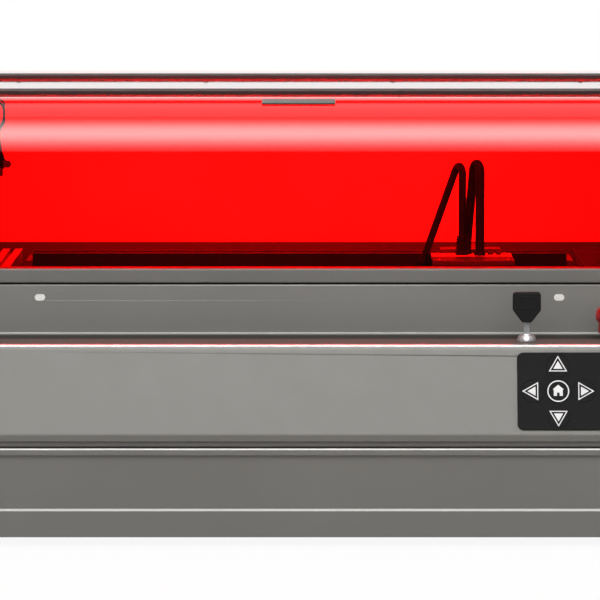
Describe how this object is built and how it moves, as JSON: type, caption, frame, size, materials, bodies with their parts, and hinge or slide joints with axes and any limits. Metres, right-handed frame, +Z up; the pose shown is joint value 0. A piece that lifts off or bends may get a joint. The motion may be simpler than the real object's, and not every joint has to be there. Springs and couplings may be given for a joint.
{
  "type": "desktop laser cutter",
  "caption": "Desktop laser cutter: grey folded-steel cabinet with curved red acrylic lid, pull-out bed drawer, moving gantry and laser head, keypad, key lock and stop button.",
  "frame": {"origin": "centre of the footprint's bounding box, on the floor", "axes": "+X to the user's right and along the longest side, +Y towards the back (exhaust), +Z up; the front console faces -Y"},
  "size_m": [0.567, 0.466, 0.268],
  "materials": {
    "grey_paint": "satin powder coat, fine texture",
    "dark_paint": "matt powder coat",
    "light_liner": "satin white paint",
    "red_acrylic": "clear tinted red, polished",
    "black_plastic": "fine moulded texture",
    "keypad_black": "matt film",
    "white_lens": "milky, glossy",
    "red_plastic": "glossy moulded",
    "chrome_lock": "polished",
    "rubber_black": "matt",
    "aluminium_rail": "bead-blasted anodised",
    "aluminium_black": "black anodised",
    "steel_zinc": "zinc plated",
    "steel_shaft": "ground",
    "belt_rubber": "matt, toothed",
    "board_green": "solder mask",
    "brass_tip": "turned"
  },
  "bodies": {
    "cabinet": {"base_pan": "dark_paint", "left_side_panel": "grey_paint", "right_side_panel": "grey_paint", "rear_panel": "grey_paint", "front_console": "grey_paint", "upper_front_panel": "grey_paint", "sensor_windows": "white_lens", "rear_inner_panel": "light_liner", "inner_walls": "dark_paint", "rubber_feet": "rubber_black", "drawer_runners": "steel_zinc", "y_rails": "aluminium_rail", "y_belts": "belt_rubber", "y_motor": "black_plastic", "bearing_blocks": "aluminium_black", "exhaust_fan_frame": "black_plastic", "exhaust_collar": "black_plastic", "led_strip": "white_lens", "control_board": "board_green", "air_pump": "steel_zinc", "power_inlet": "black_plastic", "deck_frame": "dark_paint", "keypad_bezel": "keypad_black", "key_lock_body": "chrome_lock", "estop_body": "black_plastic", "hinge_fixed_leaves": "steel_zinc", "panel_screws": "steel_zinc"},
    "drive_shaft": {"y_drive_shaft": "steel_shaft"},
    "idlers": {"belt_idlers": "steel_shaft"},
    "exhaust_rotor": {"exhaust_fan_rotor": "black_plastic"},
    "rocker": {"power_rocker": "black_plastic"},
    "lid": {"lid_window": "red_acrylic", "lid_front_rail": "grey_paint", "lid_side_frames": "grey_paint", "lid_cross_strips": "aluminium_black", "lid_strip_screws": "steel_zinc", "lid_pull_tab": "grey_paint", "lid_rear_rail": "light_liner"},
    "drawer": {"drawer_front": "grey_paint", "drawer_tray": "dark_paint", "honeycomb_bed": "aluminium_rail"},
    "gantry": {"x_beam": "aluminium_black", "gantry_carriages": "aluminium_black", "x_belt": "belt_rubber", "x_motor": "black_plastic"},
    "x_pulley": {"x_drive_pulley": "steel_shaft"},
    "head": {"head_carriage": "aluminium_black"},
    "module": {"laser_module_housing": "aluminium_rail", "laser_nozzle": "brass_tip", "module_hoses": "black_plastic"},
    "module_fan": {"module_fan_rotor": "black_plastic"},
    "cap_up": {"key_up": "keypad_black"},
    "cap_down": {"key_down": "keypad_black"},
    "cap_left": {"key_left": "keypad_black"},
    "cap_right": {"key_right": "keypad_black"},
    "cap_home": {"key_home": "keypad_black"},
    "cap_start": {"key_start": "keypad_black"},
    "lock_key": {"key": "black_plastic"},
    "stop_plunger": {"estop_plunger": "black_plastic"},
    "stop_cap": {"estop_cap": "red_plastic"}
  },
  "joints": [
    {"name": "lid_hinge", "type": "hinge", "parent": "cabinet", "child": "lid", "pos_m": [0, 0.201, 0.2605], "axis": [-1, 0, 0], "range_deg": [0, 65]},
    {"name": "drawer_slide", "type": "slide", "parent": "cabinet", "child": "drawer", "axis": [0, -1, 0], "range_m": [0, 0.25]},
    {"name": "gantry_slide", "type": "slide", "parent": "cabinet", "child": "gantry", "axis": [0, 1, 0], "range_m": [-0.185, 0.006]},
    {"name": "drive_shaft_spin", "type": "hinge", "parent": "cabinet", "child": "drive_shaft", "pos_m": [0, 0.16, 0.105], "axis": [1, 0, 0], "continuous": true},
    {"name": "idler_spin", "type": "hinge", "parent": "cabinet", "child": "idlers", "pos_m": [0, -0.14, 0.105], "axis": [1, 0, 0], "continuous": true},
    {"name": "head_slide", "type": "slide", "parent": "gantry", "child": "head", "axis": [1, 0, 0], "range_m": [-0.245, 0.028]},
    {"name": "x_pulley_spin", "type": "hinge", "parent": "gantry", "child": "x_pulley", "pos_m": [-0.165, 0.136, 0.1275], "axis": [0, 1, 0], "continuous": true},
    {"name": "focus_slide", "type": "slide", "parent": "head", "child": "module", "axis": [0, 0, 1], "range_m": [-0.01, 0.01]},
    {"name": "module_fan_spin", "type": "hinge", "parent": "module", "child": "module_fan", "pos_m": [0.1391, 0.07, 0.116], "axis": [1, 0, 0], "continuous": true},
    {"name": "exhaust_fan_spin", "type": "hinge", "parent": "cabinet", "child": "exhaust_rotor", "pos_m": [0, 0.1955, 0.19], "axis": [0, 1, 0], "continuous": true},
    {"name": "rocker_tilt", "type": "hinge", "parent": "cabinet", "child": "rocker", "pos_m": [-0.204, 0.203, 0.044], "axis": [1, 0, 0], "range_deg": [0, 12]},
    {"name": "key_turn", "type": "hinge", "parent": "cabinet", "child": "lock_key", "pos_m": [0.1382, -0.195, 0.12], "axis": [0, 0, 1], "range_deg": [-90, 0]},
    {"name": "estop_press", "type": "slide", "parent": "cabinet", "child": "stop_plunger", "axis": [0, 0, -1], "range_m": [0, 0.004]},
    {"name": "estop_twist", "type": "hinge", "parent": "stop_plunger", "child": "stop_cap", "pos_m": [0.1954, -0.188, 0.132], "axis": [0, 0, -1], "range_deg": [0, 45]},
    {"name": "up_key_press", "type": "slide", "parent": "cabinet", "child": "cap_up", "axis": [0, 0.9496, -0.3133], "range_m": [0, 0.0008]},
    {"name": "down_key_press", "type": "slide", "parent": "cabinet", "child": "cap_down", "axis": [0, 0.9496, -0.3133], "range_m": [0, 0.0008]},
    {"name": "left_key_press", "type": "slide", "parent": "cabinet", "child": "cap_left", "axis": [0, 0.9496, -0.3133], "range_m": [0, 0.0008]},
    {"name": "right_key_press", "type": "slide", "parent": "cabinet", "child": "cap_right", "axis": [0, 0.9496, -0.3133], "range_m": [0, 0.0008]},
    {"name": "home_key_press", "type": "slide", "parent": "cabinet", "child": "cap_home", "axis": [0, 0.9496, -0.3133], "range_m": [0, 0.0008]},
    {"name": "start_key_press", "type": "slide", "parent": "cabinet", "child": "cap_start", "axis": [0, 0.9496, -0.3133], "range_m": [0, 0.0008]}
  ],
  "couplings": [
    {"joint": "drive_shaft_spin", "follows": "gantry_slide", "rad_per_m": -157.08},
    {"joint": "idler_spin", "follows": "gantry_slide", "rad_per_m": -157.08},
    {"joint": "x_pulley_spin", "follows": "head_slide", "rad_per_m": 157.08}
  ]
}
